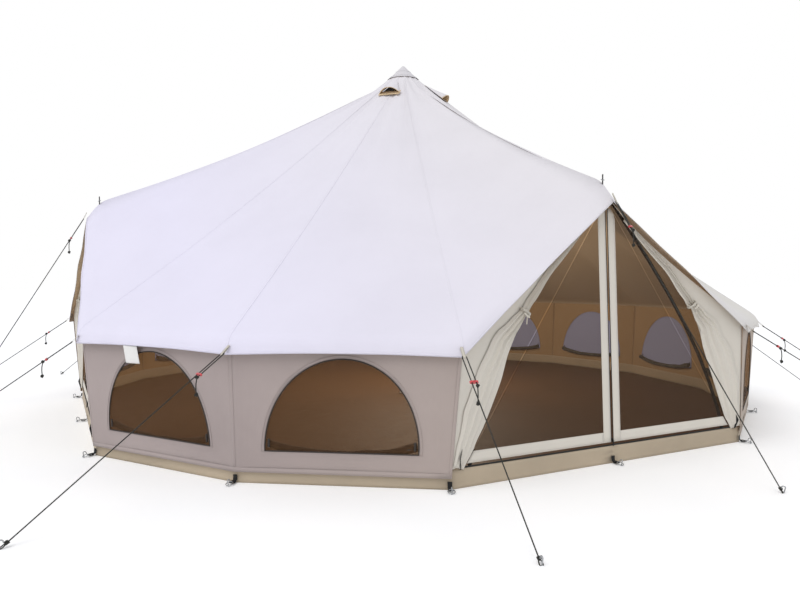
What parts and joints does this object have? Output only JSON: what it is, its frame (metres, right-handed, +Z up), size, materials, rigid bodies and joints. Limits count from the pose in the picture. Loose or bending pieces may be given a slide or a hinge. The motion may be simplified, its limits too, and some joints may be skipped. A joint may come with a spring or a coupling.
{
  "type": "bell tent on poles",
  "caption": "Round canvas bell tent on a centre pole, with A-frame doorways, zipped mesh leaves, half-round mesh windows, tub groundsheet and guy ropes with runners.",
  "frame": {"origin": "on the ground, under the apex at the middle of the groundsheet", "axes": "+Z up the centre pole; the front doorway faces -Y and the side doorway faces -X"},
  "size_m": [8.023, 7.8902, 3.128],
  "materials": {
    "roof_canvas": "off-white polyester-cotton canvas, matt, taut",
    "wall_canvas": "sand canvas, matt",
    "door_canvas": "pale beige canvas, matt",
    "insect_mesh": "dark fine insect mesh, see-through",
    "ground_fabric": "tan-brown woven laminated groundsheet",
    "pole_steel": "galvanised steel tube",
    "frame_tube": "dark powder-coated steel tube",
    "guy_rope": "dark braided guy rope",
    "runner_plastic": "translucent red moulded runner",
    "zip_metal": "black zip slider"
  },
  "bodies": {
    "tent": {"groundsheet": "ground_fabric", "wall_far": "wall_canvas", "window_mesh_far": "insect_mesh", "wall_near": "wall_canvas", "window_mesh_near": "insect_mesh", "roof_canopy": "roof_canvas", "apex_cap": "roof_canvas", "centre_pole_lower": "pole_steel", "centre_pole_middle": "pole_steel", "centre_pole_upper": "pole_steel", "front_door_surround": "door_canvas", "front_canvas_leaf_left": "door_canvas", "front_frame_leg_left": "frame_tube", "front_canvas_leaf_right": "door_canvas", "front_frame_leg_right": "frame_tube", "front_frame_elbow": "frame_tube", "side_door_surround": "door_canvas", "side_canvas_leaf_left": "door_canvas", "side_frame_leg_left": "frame_tube", "side_canvas_leaf_right": "door_canvas", "side_frame_leg_right": "frame_tube", "side_frame_elbow": "frame_tube", "guy_rope_00": "guy_rope", "guy_rope_01": "guy_rope", "guy_rope_02": "guy_rope", "guy_rope_03": "guy_rope", "guy_rope_04": "guy_rope", "guy_rope_05": "guy_rope", "guy_rope_06": "guy_rope", "guy_rope_07": "guy_rope", "guy_rope_08": "guy_rope", "guy_rope_09": "guy_rope", "guy_rope_10": "guy_rope", "guy_rope_11": "guy_rope", "guy_rope_12": "guy_rope", "guy_rope_13": "guy_rope", "guy_rope_14": "guy_rope", "guy_rope_15": "guy_rope"},
    "front_mesh_leaf_left": {"front_mesh_leaf_left": "insect_mesh"},
    "front_mesh_leaf_right": {"front_mesh_leaf_right": "insect_mesh"},
    "front_zip_slider": {"front_zip_slider": "zip_metal"},
    "side_mesh_leaf_left": {"side_mesh_leaf_left": "insect_mesh"},
    "side_mesh_leaf_right": {"side_mesh_leaf_right": "insect_mesh"},
    "side_zip_slider": {"side_zip_slider": "zip_metal"},
    "runner_00": {"runner_00": "runner_plastic"},
    "runner_01": {"runner_01": "runner_plastic"},
    "runner_02": {"runner_02": "runner_plastic"},
    "runner_03": {"runner_03": "runner_plastic"},
    "runner_04": {"runner_04": "runner_plastic"},
    "runner_05": {"runner_05": "runner_plastic"},
    "runner_06": {"runner_06": "runner_plastic"},
    "runner_07": {"runner_07": "runner_plastic"},
    "runner_08": {"runner_08": "runner_plastic"},
    "runner_09": {"runner_09": "runner_plastic"},
    "runner_10": {"runner_10": "runner_plastic"},
    "runner_11": {"runner_11": "runner_plastic"},
    "runner_12": {"runner_12": "runner_plastic"},
    "runner_13": {"runner_13": "runner_plastic"},
    "runner_14": {"runner_14": "runner_plastic"},
    "runner_15": {"runner_15": "runner_plastic"}
  },
  "joints": [
    {"name": "front_mesh_leaf_left_swing", "type": "hinge", "parent": "tent", "child": "front_mesh_leaf_left", "pos_m": [-1.05505, -2.76577, 0.115], "axis": [-0.5787, -0.0415, -0.8145], "range_deg": [0, 90]},
    {"name": "front_mesh_leaf_right_swing", "type": "hinge", "parent": "tent", "child": "front_mesh_leaf_right", "pos_m": [1.05505, -2.76577, 0.115], "axis": [-0.5787, 0.0415, 0.8145], "range_deg": [0, 90]},
    {"name": "front_zip_slide", "type": "slide", "parent": "tent", "child": "front_zip_slider", "axis": [0, 0.0509, 0.9987], "range_m": [0, 1.35]},
    {"name": "side_mesh_leaf_left_swing", "type": "hinge", "parent": "tent", "child": "side_mesh_leaf_left", "pos_m": [-2.76577, 1.05505, 0.115], "axis": [-0.0415, 0.5787, -0.8145], "range_deg": [0, 90]},
    {"name": "side_mesh_leaf_right_swing", "type": "hinge", "parent": "tent", "child": "side_mesh_leaf_right", "pos_m": [-2.76577, -1.05505, 0.115], "axis": [0.0415, 0.5787, 0.8145], "range_deg": [0, 90]},
    {"name": "side_zip_slide", "type": "slide", "parent": "tent", "child": "side_zip_slider", "axis": [0.0509, 0, 0.9987], "range_m": [0, 1.35]},
    {"name": "runner_00_slide", "type": "slide", "parent": "tent", "child": "runner_00", "axis": [-0.2084, 0.454, 0.8663], "range_m": [0, 0.1]},
    {"name": "runner_01_slide", "type": "slide", "parent": "tent", "child": "runner_01", "axis": [-0.5913, 0.5937, 0.5457], "range_m": [0, 0.1]},
    {"name": "runner_02_slide", "type": "slide", "parent": "tent", "child": "runner_02", "axis": [-0.5827, 0.5827, 0.5666], "range_m": [0, 0.1]},
    {"name": "runner_03_slide", "type": "slide", "parent": "tent", "child": "runner_03", "axis": [-0.7613, 0.3153, 0.5666], "range_m": [0, 0.1]},
    {"name": "runner_04_slide", "type": "slide", "parent": "tent", "child": "runner_04", "axis": [-0.824, 0, 0.5666], "range_m": [0, 0.1]},
    {"name": "runner_05_slide", "type": "slide", "parent": "tent", "child": "runner_05", "axis": [-0.7613, -0.3153, 0.5666], "range_m": [0, 0.1]},
    {"name": "runner_06_slide", "type": "slide", "parent": "tent", "child": "runner_06", "axis": [-0.5827, -0.5827, 0.5666], "range_m": [0, 0.1]},
    {"name": "runner_07_slide", "type": "slide", "parent": "tent", "child": "runner_07", "axis": [-0.3153, -0.7613, 0.5666], "range_m": [0, 0.1]},
    {"name": "runner_08_slide", "type": "slide", "parent": "tent", "child": "runner_08", "axis": [0, -0.824, 0.5666], "range_m": [0, 0.1]},
    {"name": "runner_09_slide", "type": "slide", "parent": "tent", "child": "runner_09", "axis": [0.3153, -0.7613, 0.5666], "range_m": [0, 0.1]},
    {"name": "runner_10_slide", "type": "slide", "parent": "tent", "child": "runner_10", "axis": [0.5827, -0.5827, 0.5666], "range_m": [0, 0.1]},
    {"name": "runner_11_slide", "type": "slide", "parent": "tent", "child": "runner_11", "axis": [0.8088, -0.1283, 0.5739], "range_m": [0, 0.1]},
    {"name": "runner_12_slide", "type": "slide", "parent": "tent", "child": "runner_12", "axis": [0.5102, 0.0318, 0.8595], "range_m": [0, 0.1]},
    {"name": "runner_13_slide", "type": "slide", "parent": "tent", "child": "runner_13", "axis": [0.8109, -0.0699, 0.581], "range_m": [0, 0.1]},
    {"name": "runner_14_slide", "type": "slide", "parent": "tent", "child": "runner_14", "axis": [0.7714, 0.3099, 0.5558], "range_m": [0, 0.1]},
    {"name": "runner_15_slide", "type": "slide", "parent": "tent", "child": "runner_15", "axis": [0.145, 0.7534, 0.6414], "range_m": [0, 0.1]}
  ]
}
